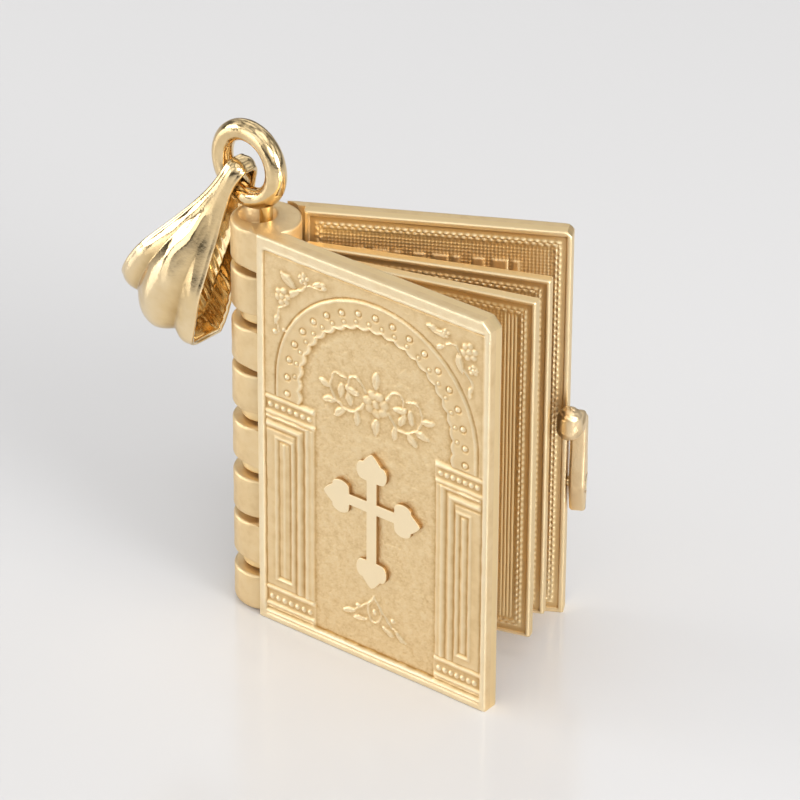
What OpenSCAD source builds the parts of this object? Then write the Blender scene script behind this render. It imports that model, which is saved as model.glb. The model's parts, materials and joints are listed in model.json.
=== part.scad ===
// Gold book charm: two cast covers and two leaves that turn on one hinge pin, a swivel latch
// with a ball, a jump ring soldered to the pin and a lobed bail that hangs on the ring.
// The hinge axis is vertical. The back cover lies along +X and the front cover opens towards -Y.

/* [Covers] */
// Height of both covers
cover_h = 18; // [16:0.5:20]
// Width of a cover from the hinge axis to the fore-edge
cover_w = 12.2; // [12:0.1:13]
// Thickness of a cover
cover_t = 0.85; // [0.75:0.05:1]
// Half of the space between the closed covers
half_gap = 0.62; // [0.6:0.01:0.7]
// Depth of the recessed field on the front of a cover
field_depth = 0.18; // [0.1:0.02:0.24]
// How far the cross stands above the margin of the front cover
cross_proud = 0.06; // [0:0.02:0.1]
// Cut at the front cover's top fore-edge corner
corner_cut = 0.4; // [0.2:0.05:0.6]
// Cut at the back cover's top fore-edge corner
back_cut = 0.2; // [0.1:0.05:0.6]

/* [Leaves] */
// Height of a leaf
leaf_h = 15.7; // [14:0.1:16]
// Reach of a leaf from the hinge axis
leaf_w = 11.7; // [11:0.1:11.7]
// Thickness of a leaf
leaf_t = 0.5; // [0.4:0.05:0.5]
// Depth of the recessed field on each face of a leaf and inside a cover
page_depth = 0.1; // [0.06:0.02:0.12]

/* [Hinge] */
// Gap under a knuckle that has a leaf's lug below it
lug_gap = 0.7; // [0.6:0.02:0.8]
// Gap under any other knuckle
plain_gap = 0.33; // [0.2:0.01:0.4]
// Radius of the hinge pin
pin_r = 0.46; // [0.4:0.02:0.5]
// Radius of the pin's neck, from the cup up to the ring
post_r = 0.3; // [0.24:0.01:0.3]
// Running clearance around the pin
pin_gap = 0.04; // [0.03:0.01:0.06]
// Clearance between a knuckle and the cover that passes it
knuckle_gap = 0.06; // [0.05:0.01:0.1]
// Radius of a leaf's lug
lug_r = 1.1; // [0.9:0.05:1.2]
// Height of a leaf's lug
lug_h = 0.4; // [0.3:0.02:0.42]
// Radius of the open cup at the top of the hinge
cup_r = 0.78; // [0.76:0.01:0.8]
// How far the cup lies off the hinge axis, towards the spine
cup_back = 0.43; // [0.38:0.01:0.43]
// Depth of that cup
cup_depth = 0.9; // [0.6:0.1:1.2]

/* [Rest pose] */
// Opening of the leaf next to the back cover
leaf_two_angle = 7; // [4:0.5:10]
// Opening of the leaf next to the front cover
leaf_one_angle = 13; // [11:0.5:16]
// Opening of the front cover
front_angle = 28.5; // [20:0.5:34]

/* [Latch] */
// Height of the latch pivot above the foot
latch_z = 6.2; // [5.5:0.1:7]
// Reach from the pivot to the ball
latch_reach = 3.16; // [3.1:0.02:3.4]
// Radius of the ball
ball_r = 0.57; // [0.5:0.01:0.57]
// Thickness of the latch plate
latch_t = 0.7; // [0.6:0.05:0.8]
// Length of the plate's tail below the pivot
latch_tail = 1.4; // [0.9:0.1:1.8]

/* [Jump ring] */
// Radius of the ring's wire
wire_r = 0.46; // [0.42:0.01:0.48]
// Radius of the ring to the middle of its wire
ring_r = 1.47; // [1.45:0.01:1.6]
// Turn of the ring's plane away from the back cover
ring_turn = 33; // [25:1:45]

/* [Bail] */
// Length of the bail
bail_l = 8.4; // [7.8:0.1:8.6]
// Width of the bail at its neck
neck_w = 0.9; // [0.8:0.05:0.95]
// Width of the bail at its wide end
bail_w = 4.4; // [4:0.1:4.5]
// Thickness of the bail's band
band_t = 0.32; // [0.28:0.01:0.34]
// Place of the two grooves between its three lobes, as a share of half the width
groove_at = 0.55; // [0.4:0.05:0.6]
// Lean of the hanging bail away from the spine
bail_lean = 25; // [25:1:30]

/* [Hidden] */
$fn = 48;

gold = [0.83, 0.69, 0.42];
bright_gold = [0.93, 0.8, 0.55];
deep_gold = [0.72, 0.56, 0.32];

// Hinge: eight knuckles and the gaps between them share the height, counted from the top
barrel_r = half_gap + cover_t;
knuckle_count = 8;
lugs_two = [4, 7];
lugs_one = [2, 5];
lug_count = len(lugs_two) + len(lugs_one);
knuckle_h = (cover_h - lug_count * lug_gap - (knuckle_count - 1 - lug_count) * plain_gap) / knuckle_count;
function gap_under(i) = len([for (k = concat(lugs_two, lugs_one)) if (k == i) k]) > 0 ? lug_gap : plain_gap;
function knuckle_z(i) = i == 1 ? cover_h - knuckle_h : knuckle_z(i - 1) - gap_under(i - 1) - knuckle_h;
front_knuckles = [1, 3, 5, 7];
back_knuckles = [2, 4, 6, 8];
leaf_inset = (cover_h - leaf_h) / 2;
leaf_start = barrel_r + 0.12;
closed_gap = 0.05;
eps = 0.02;

// Front design, measured in the plane of the cover
margin_left = 1;
margin_right = 0.28;
margin_top = 0.75;
margin_foot = 0.4;
design_x = (margin_left + cover_w - margin_right) / 2;
column_w = 2.4;
arch_z = cover_h * 0.655;
arch_r = 4.95;
inner_arch_r = 3.9;
capital_z = cover_h * 0.54;
base_z = cover_h * 0.103;
cross_z = cover_h * 0.416;
outer_y = -barrel_r;
field_y = outer_y + field_depth;

// Ring: the pin's neck meets its wire some degrees round from the lowest point
joint_angle = 38;
ring_dir = [cos(ring_turn), -sin(ring_turn), 0];
ring_axis = [sin(ring_turn), cos(ring_turn), 0];
ring_centre_z = cover_h + 0.08 + ring_r + wire_r;
ring_centre = [0, 0, ring_centre_z] - ring_dir * ring_r * sin(joint_angle);

// Bail: it hangs on the ring's wire, bail_hold degrees round from the lowest point
bail_hold = 35;
bail_from = ring_centre - ring_dir * ring_r * sin(bail_hold) - [0, 0, ring_r * cos(bail_hold)];
bail_down = -ring_dir * sin(bail_lean) - [0, 0, cos(bail_lean)];
bail_side = ring_dir * cos(bail_lean) - [0, 0, sin(bail_lean)];
bail_rows = 40;
bail_cols = 17;
neck_out = 1.25;
function ease(x) = let (c = min(max(x, 0), 1)) c * c * (3 - 2 * c);
function along(t) = bail_l / 2 * (1 - cos(t)) - neck_out;
// The front wall swells away from the ring's plane and the back wall runs back towards it
function front_depth(t) = 0.95 + 1.2 * ease(along(t) / 5);
function back_depth(t) = 0.9 - 0.6 * ease(along(t) / 6);
// Fullness of the loop's two ends: the wide end is squarer than the neck
function fullness(t) = 0.55 - 0.3 * ease((along(t) - 3) / 4);
function depth(t) = sin(t) >= 0
  ? -front_depth(t) * pow(sin(t), fullness(t))
  : back_depth(t) * pow(-sin(t), fullness(t));
function half_width(t) = neck_w / 2
  + (bail_w - neck_w) / 2 * pow(ease((along(t) + 0.6) / (bail_l - 0.8)), 0.85);
function loop_point(t) = [along(t), depth(t)];
function loop_normal(t) = let (
    d = loop_point(t + 1.5) - loop_point(t - 1.5),
    n = [-d[1], d[0]] / norm(d)
  ) -n;
// Three round lobes stand side by side across the width of the lower half, and fade above it. The band is
// crowned across from just under the neck.
function wave(v) = abs(cos(90 * pow(abs(v) / groove_at, 1.2)));
function flute(t, v) = 0.32 * ease((along(t) - 1.5) / 4.5) * wave(v) - 0.45 * ease((along(t) + 0.2) / 4) * v * v;
// The wide end is scalloped: each lobe reaches a little further down
function lobe(t, v) = 0.16 * ease((along(t) - 4) / 3) * wave(v)
  - 0.2 * ease((along(t) - 3) / 4) * v * v;
function bail_point(t, v, lift) = let (
    p = loop_point(t) + loop_normal(t) * lift,
    w = half_width(t) * v
  ) bail_from + bail_down * (p[0] + lobe(t, v)) + ring_axis * p[1] + bail_side * w;
function bail_section(t) = [
  for (k = [0:bail_cols - 1]) let (v = -1 + 2 * k / (bail_cols - 1))
    bail_point(t, v, band_t / 2 + flute(t, v)),
  for (k = [0:bail_cols - 1]) let (v = 1 - 2 * k / (bail_cols - 1))
    bail_point(t, v, -band_t / 2 + min(flute(t, v), 0.6 * flute(t, v)))
];
bail_points = [for (i = [0:bail_rows - 1]) each bail_section(360 * (i + 0.5) / bail_rows)];
ring_size = 2 * bail_cols;
bail_faces = [
  for (i = [0:bail_rows - 1], k = [0:ring_size - 1]) let (
      a = i * ring_size + k,
      b = i * ring_size + (k + 1) % ring_size,
      c = ((i + 1) % bail_rows) * ring_size + k,
      d = ((i + 1) % bail_rows) * ring_size + (k + 1) % ring_size
    ) each [[a, c, b], [b, c, d]]
];

// Origin: the middle of the whole object's footprint
latch_x = cover_w + 0.08;
rivet_end = latch_x + latch_t + 0.02;
rivet_head_t = 0.18;
low_x = min([for (p = bail_points) p[0]]);
high_y = max([for (p = bail_points) p[1]]);
low_y = -sin(front_angle) * cover_w + cos(front_angle) * outer_y;
origin_x = (low_x + rivet_end) / 2;
origin_y = (low_y + high_y) / 2;

// Everything is placed from the hinge axis
module placed() {
  translate([-origin_x, -origin_y, 0]) children();
}

// A plane figure drawn in x and z, raised towards -Y from the plane y = from
module raised(from, height) {
  translate([0, from, 0]) rotate([90, 0, 0]) linear_extrude(height) children();
}

// A square ring of the given band
module frame_2d(x0, z0, x1, z1, band) {
  difference() {
    translate([x0, z0]) square([x1 - x0, z1 - z0]);
    translate([x0 + band, z0 + band]) square([x1 - x0 - 2 * band, z1 - z0 - 2 * band]);
  }
}

// Part of a round band, from one angle to another, under half a turn apart
module arc_2d(r, band, from, to) {
  reach = r * 2;
  middle = (from + to) / 2;
  intersection() {
    difference() {
      circle(r + band / 2);
      circle(r - band / 2);
    }
    polygon([
      [0, 0],
      reach * [cos(from), sin(from)],
      reach * [cos(middle), sin(middle)],
      reach * [cos(to), sin(to)]
    ]);
  }
}

// A pointed leaf lying along x
module leaf_2d(length, width) {
  r = (length * length + width * width) / (4 * width);
  intersection() {
    translate([length / 2, r - width / 2]) circle(r);
    translate([length / 2, width / 2 - r]) circle(r);
  }
}

// The outline of a cover, with its top fore-edge corner cut
module cover_outline_2d(cut) {
  polygon([
    [0, 0], [cover_w, 0], [cover_w, cover_h - cut],
    [cover_w - cut, cover_h], [0, cover_h]
  ]);
}

// Rows of short plain bars
module bars_2d(x0, x1, z0, z1, rows) {
  pitch = (z1 - z0) / rows;
  for (k = [0:rows - 1]) {
    split = 0.38 + 0.24 * (k % 3) / 2;
    span = x1 - x0;
    translate([x0, z0 + (k + 0.3) * pitch]) square([span * split - 0.3, pitch * 0.4]);
    translate([x0 + span * split, z0 + (k + 0.3) * pitch]) square([span * (1 - split), pitch * 0.4]);
  }
}

// The pressed field of a page: a recess with a ridge round it and the bars inside
module page_recess(x0, x1, z0, z1, rows) {
  difference() {
    translate([x0, z0]) square([x1 - x0, z1 - z0]);
    frame_2d(x0 + 0.18, z0 + 0.18, x1 - 0.18, z1 - 0.18, 0.3);
    bars_2d(x0 + 1, x1 - 1, z0 + 1, z1 - 1, rows);
  }
}

// The space that a cover leaves free between its own knuckles
module knuckle_space(own) {
  for (i = [0:knuckle_count / 2]) {
    top = i == 0 ? cover_h + 1 : knuckle_z(own[i - 1]);
    foot = i == len(own) ? -1 : knuckle_z(own[i]) + knuckle_h;
    translate([0, 0, foot]) cylinder(h = top - foot, r = barrel_r + knuckle_gap);
  }
}

module knuckles(own) {
  for (i = own) translate([0, 0, knuckle_z(i)]) cylinder(h = knuckle_h, r = barrel_r);
}

module pin_bore(from, to) {
  translate([0, 0, from]) cylinder(h = to - from, r = pin_r + pin_gap);
}

// Figures of the front cover
module column_2d(x) {
  for (step = [0, 0.36, 0.72]) {
    frame_2d(x + step, base_z + step, x + column_w - step, capital_z - step, 0.2);
  }
  translate([x + 1.1, base_z + 1.1]) square([column_w - 2.2, capital_z - base_z - 2.2]);
  translate([x - 0.1, capital_z + 0.1]) square([column_w + 0.2, 0.3]);
  translate([x - 0.15, capital_z + 1.05]) square([column_w + 0.3, 0.32]);
  translate([x - 0.1, base_z - 0.38]) square([column_w + 0.2, 0.26]);
  translate([x - 0.15, margin_foot + 0.14]) square([column_w + 0.3, 0.3]);
  for (k = [0:5]) {
    translate([x + 0.22 + k * (column_w - 0.44) / 5, capital_z + 0.72]) circle(0.17, $fn = 24);
    translate([x + 0.22 + k * (column_w - 0.44) / 5, margin_foot + 0.76]) circle(0.17, $fn = 24);
  }
}

module arch_2d() {
  translate([design_x, arch_z]) {
    difference() {
      circle(arch_r + 0.16);
      circle(arch_r - 0.16);
      translate([-8, -16]) square(16);
    }
    difference() {
      circle(inner_arch_r + 0.12);
      circle(inner_arch_r - 0.12);
      translate([-8, -16]) square(16);
    }
    for (k = [0:16]) {
      rotate(180 * (k + 0.5) / 17) translate([(arch_r + inner_arch_r) / 2, 0]) circle(0.19, $fn = 24);
    }
  }
  for (side = [-1, 1]) {
    translate([design_x + side * arch_r - 0.16, capital_z + 1.3]) square([0.32, arch_z - capital_z - 1.3 + eps]);
    translate([design_x + side * inner_arch_r - 0.12, capital_z + 1.3])
      square([0.24, arch_z - capital_z - 1.3 + eps]);
  }
}

// A rosette with two curled sprays, for the corner above the arch
module spandrel_2d() {
  circle(0.34);
  for (a = [0:60:300]) rotate(a) translate([0.2, 0]) leaf_2d(0.62, 0.3);
  translate([1.75, 0.55]) rotate(200) arc_2d(0.75, 0.16, -20, 120);
  translate([1.15, 0.62]) circle(0.24);
  translate([2, 0.8]) rotate(20) leaf_2d(0.8, 0.34);
  translate([-0.2, -1.6]) rotate(60) arc_2d(0.7, 0.16, -20, 110);
  translate([0.1, -1.2]) circle(0.24);
  translate([-0.1, -2.3]) rotate(250) leaf_2d(0.7, 0.32);
}

// A generic spray where a title would stand
module title_spray_2d() {
  circle(0.4);
  for (a = [0:45:315]) rotate(a) translate([0.36, 0]) leaf_2d(0.62, 0.36);
  for (side = [0, 1]) mirror([side, 0]) {
    translate([1.15, -0.1]) square([1.1, 0.2]);
    for (k = [0:2]) {
      translate([1.2 + 0.5 * k, 0]) rotate(48) leaf_2d(0.8, 0.3);
      translate([1.2 + 0.5 * k, 0]) rotate(-48) leaf_2d(0.8, 0.3);
    }
    translate([2.2, 0]) leaf_2d(0.7, 0.34);
  }
}

// A small spray under the cross
module foot_spray_2d() {
  circle(0.3);
  for (a = [50, 90, 130]) rotate(a) translate([0.25, 0]) leaf_2d(0.9, 0.32);
  for (side = [0, 1]) mirror([side, 0]) {
    translate([0.85, -0.15]) rotate(-150) arc_2d(0.62, 0.16, -100, 30);
    translate([1.05, -0.5]) leaf_2d(0.75, 0.3);
  }
}

module cross_2d() {
  arm = 0.5;
  reach_up = 1.92;
  reach_side = 1.83;
  reach_down = 3.23;
  translate([-arm / 2, -reach_down]) square([arm, reach_up + reach_down]);
  translate([-reach_side, -arm / 2]) square([2 * reach_side, arm]);
  for (end = [[90, reach_up], [0, reach_side], [180, reach_side], [270, reach_down]]) {
    rotate(end[0]) translate([end[1], 0]) {
      circle(0.36);
      translate([0.05, 0.42]) circle(0.28);
      translate([0.05, -0.42]) circle(0.28);
      translate([0.36, 0]) circle(0.24);
    }
  }
}

module front_field_2d() {
  translate([margin_left, margin_foot])
    square([cover_w - margin_left - margin_right, cover_h - margin_top - margin_foot]);
}

module front_relief_2d() {
  intersection() {
    front_field_2d();
    union() {
      frame_2d(margin_left + 0.12, margin_foot + 0.1, cover_w - margin_right - 0.1,
        cover_h - margin_top - 0.1, 0.12);
      column_2d(margin_left + 0.08);
      column_2d(cover_w - margin_right - 0.08 - column_w);
      arch_2d();
      translate([margin_left + 0.95, cover_h - margin_top - 0.95]) spandrel_2d();
      translate([cover_w - margin_right - 0.95, cover_h - margin_top - 0.95]) mirror([1, 0]) spandrel_2d();
      translate([design_x, arch_z + 0.6]) title_spray_2d();
      translate([design_x, 1.75]) foot_spray_2d();
    }
  }
}

module back_cover() {
  color(gold) placed() difference() {
    union() {
      difference() {
        translate([0, barrel_r, 0]) rotate([90, 0, 0]) linear_extrude(cover_t) cover_outline_2d(back_cut);
        knuckle_space(back_knuckles);
      }
      knuckles(back_knuckles);
      // Rivet of the latch
      translate([cover_w - 0.3, half_gap + cover_t / 2, latch_z]) rotate([0, 90, 0])
        cylinder(h = rivet_end - cover_w + 0.3, r = 0.22);
      translate([rivet_end - rivet_head_t, half_gap + cover_t / 2, latch_z]) rotate([0, 90, 0])
        cylinder(h = rivet_head_t, r = 0.36);
    }
    pin_bore(0.5, cover_h + 1);
    // Pressed field inside
    translate([0, half_gap + page_depth, 0]) rotate([90, 0, 0]) linear_extrude(1)
      page_recess(leaf_start + 0.35, cover_w - 0.45, 0.5, cover_h - 0.6, 9);
    // Recessed panel on the back
    translate([0, barrel_r + 1, 0]) rotate([90, 0, 0]) linear_extrude(1 + field_depth / 2)
      back_panel_2d();
  }
}

// The back is plain, with one framed panel
module back_panel_2d() {
  difference() {
    front_field_2d();
    frame_2d(margin_left + 0.5, margin_foot + 0.5, cover_w - margin_right - 0.5,
      cover_h - margin_top - 0.5, 0.25);
  }
}

module front_cover() {
  color(gold) placed() rotate([0, 0, -front_angle]) {
    difference() {
      union() {
        difference() {
          raised(-half_gap, cover_t) cover_outline_2d(corner_cut);
          knuckle_space(front_knuckles);
          raised(field_y, 1) front_field_2d();
        }
        raised(field_y + eps, field_depth * 0.8 + eps) front_relief_2d();
        raised(field_y + eps, field_depth + cross_proud + eps) translate([design_x - 0.1, cross_z]) cross_2d();
        knuckles(front_knuckles);
      }
      pin_bore(-1, cover_h - cup_depth + eps);
      translate([-cup_back, 0, cover_h - cup_depth]) cylinder(h = cup_depth + 1, r = cup_r);
      raised(-half_gap + 1, 1 + page_depth)
        page_recess(leaf_start + 0.35, cover_w - 0.45, 0.5, cover_h - 0.6, 9);
    }
  }
}

// One leaf: y0 is its face nearer the back cover, and its lugs lie under the named knuckles
module leaf(y0, turn, under) {
  placed() rotate([0, 0, -turn]) difference() {
    union() {
      translate([leaf_start, y0 - leaf_t, leaf_inset]) cube([leaf_w - leaf_start, leaf_t, leaf_h]);
      for (i = under) translate([0, 0, knuckle_z(i) - (lug_gap + lug_h) / 2]) {
        cylinder(h = lug_h, r = lug_r);
        translate([0, y0 - leaf_t, 0]) cube([leaf_start + eps, leaf_t, lug_h]);
      }
    }
    pin_bore(-1, cover_h + 1);
    raised(y0 + 1, 1 + page_depth)
      page_recess(leaf_start + 0.35, leaf_w - 0.35, leaf_inset + 0.35, leaf_inset + leaf_h - 0.35, 8);
    raised(y0 - leaf_t + page_depth, 1)
      page_recess(leaf_start + 0.35, leaf_w - 0.35, leaf_inset + 0.35, leaf_inset + leaf_h - 0.35, 8);
  }
}

module leaf_two() {
  color(deep_gold) leaf(closed_gap + leaf_t, leaf_two_angle, lugs_two);
}

module leaf_one() {
  color(deep_gold) leaf(-closed_gap, leaf_one_angle, lugs_one);
}

module hinge_pin() {
  pin_top = cover_h - cup_depth - 0.04;
  post_top = ring_centre_z - ring_r * cos(joint_angle);
  color(bright_gold) placed() {
    translate([0, 0, 0.54]) cylinder(h = pin_top - 0.54, r = pin_r);
    translate([0, 0, pin_top - eps]) cylinder(h = post_top - pin_top + eps, r = post_r);
    translate(ring_centre) rotate([0, 0, -ring_turn]) rotate([90, 0, 0])
      rotate_extrude() translate([ring_r, 0]) circle(wire_r);
  }
}

module latch() {
  plate_y = half_gap + cover_t / 2;
  color(bright_gold) placed() translate([0, 0, latch_z]) {
    difference() {
      union() {
        translate([latch_x, plate_y, 0]) rotate([0, 90, 0]) cylinder(h = latch_t, r = 0.62);
        translate([latch_x, plate_y - 0.42, 0]) cube([latch_t, 0.84, latch_reach - 0.3]);
        // Pointed tail
        translate([latch_x, plate_y, 0]) rotate([90, 0, 90]) linear_extrude(latch_t)
          polygon([[-0.56, -0.26], [-0.14, -latch_tail], [0.14, -latch_tail], [0.56, -0.26]]);
        translate([latch_x, plate_y, latch_reach - 0.3]) rotate([0, 90, 0]) cylinder(h = latch_t, r = 0.42);
        // Arm from the plate to the ball, which is drawn out along the latch
        translate([latch_x, 0, latch_reach - 0.4]) cube([latch_t, plate_y, 0.7]);
        translate([latch_x + 0.08, 0, latch_reach + 0.05]) sphere(ball_r);
        translate([latch_x + 0.08, 0, latch_reach + 0.05]) cylinder(h = 0.38, r1 = ball_r, r2 = ball_r - 0.04);
        translate([latch_x + 0.08, 0, latch_reach + 0.43]) sphere(ball_r - 0.04);
      }
      translate([latch_x - 1, plate_y, 0]) rotate([0, 90, 0]) cylinder(h = 3, r = 0.26);
      // The rivet's head lies in this seat
      translate([rivet_end - rivet_head_t - 0.06, plate_y, 0]) rotate([0, 90, 0]) cylinder(h = 1, r = 0.42);
    }
  }
}

module bail() {
  color(bright_gold) placed() polyhedron(points = bail_points, faces = bail_faces);
}

back_cover();
hinge_pin();
leaf_two();
leaf_one();
front_cover();
latch();
bail();
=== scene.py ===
import bpy
import json
import math
import numpy as np
from mathutils import Matrix


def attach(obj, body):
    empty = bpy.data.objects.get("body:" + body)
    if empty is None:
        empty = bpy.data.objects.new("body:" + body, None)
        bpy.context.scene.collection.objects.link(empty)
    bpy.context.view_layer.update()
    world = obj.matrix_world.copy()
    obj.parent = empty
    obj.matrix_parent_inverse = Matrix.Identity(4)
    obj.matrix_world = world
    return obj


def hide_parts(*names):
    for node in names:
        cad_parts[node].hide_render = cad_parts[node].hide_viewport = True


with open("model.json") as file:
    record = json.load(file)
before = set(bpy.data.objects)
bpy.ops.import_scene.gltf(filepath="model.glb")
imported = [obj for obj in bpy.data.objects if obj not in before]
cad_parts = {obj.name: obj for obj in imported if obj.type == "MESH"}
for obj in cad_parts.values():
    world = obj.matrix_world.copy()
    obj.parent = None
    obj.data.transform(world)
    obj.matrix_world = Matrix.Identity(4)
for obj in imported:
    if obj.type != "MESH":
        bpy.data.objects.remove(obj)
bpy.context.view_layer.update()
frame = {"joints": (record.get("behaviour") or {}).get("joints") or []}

mm = 0.001

# The book's own frame: s runs from the hinge axis along a cover, y goes through it, z is up, all in mm
hingeAt = next(j["pos_m"] for j in frame["joints"] if j["name"] == "front_turn")
book = dict(
    height=18.0,
    width=12.2,         # hinge axis to fore-edge
    faceOut=1.47,       # axis to the outer face of a cover
    faceIn=0.62,        # axis to its inner face
    faceMid=1.045,      # axis to the plane inside a cover where its two worked faces meet
    edgeStart=0.62,     # where a cover's outer face begins beside the knuckles
    notch=1.53,         # radius that clears the other cover's knuckles
    cornerCut=0.4,      # front cover's top corner
    backCut=0.2,        # back cover's
    cutFrom=11.0,       # the rows beside a cut corner draw in from here outwards
    frontTurn=28.5,     # opening of the front cover and the leaves, in degrees
    leafOneTurn=13.0,
    leafTwoTurn=7.0,
)


def place(s, y, z, turn=0.0):
    # Book millimetres to row metres, turned clockwise about the hinge axis
    a = math.radians(turn)
    s, y, z = np.broadcast_arrays(s, y, z)
    across = math.cos(a) * s + math.sin(a) * y
    deep = -math.sin(a) * s + math.cos(a) * y
    return np.stack([across * mm + hingeAt[0], deep * mm + hingeAt[1], z * mm], axis=-1)


def placed(points):
    # The same for an unturned array whose last axis is x, y and z
    return place(points[..., 0], points[..., 1], points[..., 2])


# Materials: all one alloy, 14-carat yellow gold, in five finishes
def linear(hexColour):
    # sRGB hex to linear red, green, blue and alpha
    values = [int(hexColour[i:i + 2], 16) / 255 for i in (1, 3, 5)]
    return [v / 12.92 if v <= 0.04045 else ((v + 0.055) / 1.055) ** 2.4 for v in values] + [1.0]


def addNode(tree, kind, settings=None, links=None):
    # One node: settings by input or property name, links from an output to an input name
    node = tree.nodes.new(kind)
    for key, value in (settings or {}).items():
        if isinstance(key, int) or key in node.inputs:
            node.inputs[key].default_value = value
        else:
            setattr(node, key, value)
    for key, source in (links or {}).items():
        tree.links.new(source, node.inputs[key])
    return node


def goldMaterial(look):
    # Tone and roughness follow the "relief" attribute: hollows take a deeper colour as painted shade, and
    # ridges a paler one as painted highlight, with less roughness. Two noises add the cloudiness of a casting
    # and the grain of its blasted skin.
    material = bpy.data.materials.new(look["name"])
    material.use_nodes = True
    tree = material.node_tree
    tree.nodes.clear()
    coords = addNode(tree, "ShaderNodeTexCoord").outputs["Object"]
    relief = addNode(tree, "ShaderNodeAttribute", {"attribute_name": "relief"}).outputs["Fac"]
    cloud, grain = (
        addNode(tree, "ShaderNodeTexNoise", {"Scale": 1 / (look[kind] * mm), "Detail": detail},
                {"Vector": coords}).outputs["Fac"]
        for kind, detail in (("cloud", 3.0), ("grain", 2.0)))
    mixed = addNode(tree, "ShaderNodeMath", {"operation": "MULTIPLY_ADD", 1: look["cloudShare"]},
                    {0: cloud, 2: relief})
    average = look["cloudShare"] / 2
    height = addNode(tree, "ShaderNodeMapRange", {"From Min": average - 1, "From Max": average + 1},
                     {"Value": mixed.outputs[0]})
    tone = addNode(tree, "ShaderNodeValToRGB", None, {"Fac": height.outputs[0]})
    stops = tone.color_ramp.elements
    stops[0].color, stops[1].color = linear(look["hollow"]), linear(look["ridge"])
    stops.new(0.5).color = linear(look["body"])
    rough = addNode(tree, "ShaderNodeMapRange", {
        "From Min": -1.0, "From Max": 1.0, "To Min": look["rough"][0], "To Max": look["rough"][1]},
        {"Value": relief})
    bump = addNode(tree, "ShaderNodeBump", {"Strength": look["bump"], "Distance": look["grain"] * mm},
                   {"Height": grain})
    shader = addNode(tree, "ShaderNodeBsdfPrincipled", {"Metallic": 1.0}, {
        "Base Color": tone.outputs["Color"], "Roughness": rough.outputs[0], "Normal": bump.outputs["Normal"]})
    addNode(tree, "ShaderNodeOutputMaterial", None, {"Surface": shader.outputs[0]})
    return material


# Each finish: material, slot, colours of the flats, ridges and hollows, roughness from hollow to ridge, the
# skin's bump, and the noises with their sizes in mm
looks = dict(
    # Cast: a soft sheen with no clear reflections; its ridge colour is a painted highlight and its hollow
    # colour painted shade
    satin=dict(name="gold14SatinCast", slot="satin_gold", body="#F0D5A5", ridge="#FFEECA", hollow="#C39A5C",
               rough=(0.54, 0.42), bump=0.2, grain=0.07, cloud=0.5, cloudShare=0.75),
    # Pages: their hollows take a deep brown as painted shade, and their ridges a paler painted highlight
    milled=dict(name="gold14Milled", slot="milled_gold", body="#F5DAA6", ridge="#FFEAC4", hollow="#BD8D4E",
                rough=(0.5, 0.38), bump=0.1, grain=0.07, cloud=1.2, cloudShare=0.25),
    # Wire and bail: near mirror, with the faint haze of hand polishing
    polished=dict(name="gold14Polished", slot="polished_gold", body="#ECD09E", ridge="#FFEBC4",
                  hollow="#B5935A", rough=(0.16, 0.09), bump=0.05, grain=0.15, cloud=0.8, cloudShare=1.0),
    # Latch: worn smooth, between satin and mirror
    tumbled=dict(name="gold14Tumbled", slot="polished_gold", body="#F4DAAE", ridge="#FFEFD0",
                 hollow="#C49D66", rough=(0.45, 0.37), bump=0.1, grain=0.1, cloud=0.6, cloudShare=0.9),
    # Cross: flat, its paler colour a painted highlight that makes it brighter than the casting round it, and
    # its hollow colour the painted shade on its walls
    lapped=dict(name="gold14Lapped", slot="satin_gold", body="#FFEABF", ridge="#FFF3DA", hollow="#9C7440",
                rough=(0.52, 0.46), bump=0.05, grain=0.12, cloud=1.5, cloudShare=0.2),
)
finishes = {finish: (goldMaterial(look), look["slot"]) for finish, look in looks.items()}


# Mesh making
def addObject(name, data):
    thing = bpy.data.objects.new(name, data)
    bpy.context.scene.collection.objects.link(thing)
    return thing


def makePiece(name, points, quads, caps, body, nodes, finish, sharp=40.0, relief=None):
    # Arrays to one closed mesh. All faces are reversed if the signed volume comes out negative.
    points = np.asarray(points, float).reshape(-1, 3)
    quads = np.asarray(quads, np.int64).reshape(-1, 4)
    fans = [np.stack([np.full(len(c) - 2, c[0]), c[1:-1], c[2:]], axis=1) for c in caps]
    triangles = np.concatenate([quads[:, [0, 1, 2]], quads[:, [0, 2, 3]]] + fans)
    corners = points[triangles] - points.mean(axis=0)
    if np.einsum("ij,ij->", corners[:, 0], np.cross(corners[:, 1], corners[:, 2])) < 0:
        quads = quads[:, ::-1]
        caps = [c[::-1] for c in caps]
    loops = np.concatenate([quads.ravel()] + [np.asarray(c) for c in caps]).astype(np.int32)
    sizes = np.array([4] * len(quads) + [len(c) for c in caps])
    mesh = bpy.data.meshes.new(name)
    mesh.vertices.add(len(points))
    mesh.vertices.foreach_set("co", points.ravel())
    mesh.loops.add(len(loops))
    mesh.loops.foreach_set("vertex_index", loops)
    mesh.polygons.add(len(sizes))
    mesh.polygons.foreach_set("loop_start", np.concatenate([[0], np.cumsum(sizes)[:-1]]).astype(np.int32))
    mesh.update(calc_edges=True)
    mesh.validate()
    mesh.shade_smooth()
    mesh.set_sharp_from_angle(angle=math.radians(sharp))
    if relief is not None:
        values = np.zeros(len(points), np.float32)
        values[:relief.size] = relief.ravel()
        mesh.attributes.new("relief", "FLOAT", "POINT").data.foreach_set("value", values)
    piece = addObject(name, mesh)
    material, slotName = finishes[finish]
    mesh.materials.append(material)
    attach(piece, body)
    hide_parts(*nodes)
    return piece


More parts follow.
